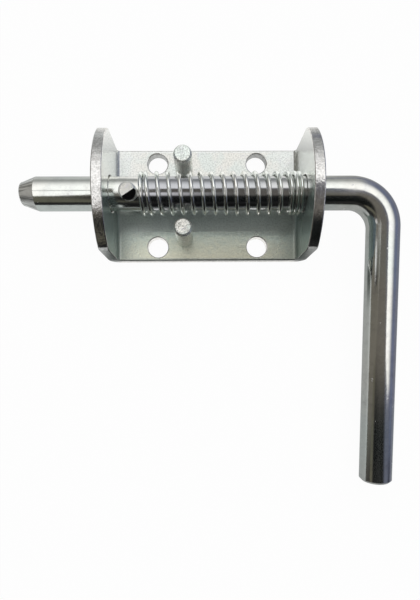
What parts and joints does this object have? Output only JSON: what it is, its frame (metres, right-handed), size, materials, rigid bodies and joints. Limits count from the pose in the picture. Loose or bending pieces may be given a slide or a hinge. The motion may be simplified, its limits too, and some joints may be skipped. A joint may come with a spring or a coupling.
{
  "type": "spring latch",
  "caption": "Spring-loaded bolt with a bent bar handle in a folded plate bracket; pulled back and turned, its cross pin catches behind posts and holds it open.",
  "frame": {"origin": "centre of the plate's back face, which is the mounting face, midway between the four mounting holes", "axes": "+X along the bolt towards the handle, +Z out of the mounting face, and the handle points to -Y"},
  "size_m": [0.1848, 0.174, 0.042],
  "materials": {
    "plated_sheet": "bright zinc plate, faintly brushed",
    "plated_bar": "bright zinc plate, glossy",
    "spring_wire": "bright plated wire",
    "plated_pin": "bright zinc plate",
    "plated_post": "satin zinc plate"
  },
  "bodies": {
    "bracket": {"bracket": "plated_sheet", "upper_hold_back_post": "plated_post", "lower_hold_back_post": "plated_post"},
    "spring": {"spring": "spring_wire"},
    "bolt": {"bolt": "plated_bar", "cross_pin": "plated_pin"}
  },
  "joints": [
    {"name": "bolt_slide", "type": "slide", "parent": "bracket", "child": "spring", "axis": [1, 0, 0], "range_m": [-0.0057, 0.038], "stiffness_N_per_m": 1200, "deforming": ["spring"]},
    {"name": "handle_turn", "type": "hinge", "parent": "spring", "child": "bolt", "pos_m": [0, 0, 0.021], "axis": [1, 0, 0], "range_deg": [-190, 0]}
  ]
}
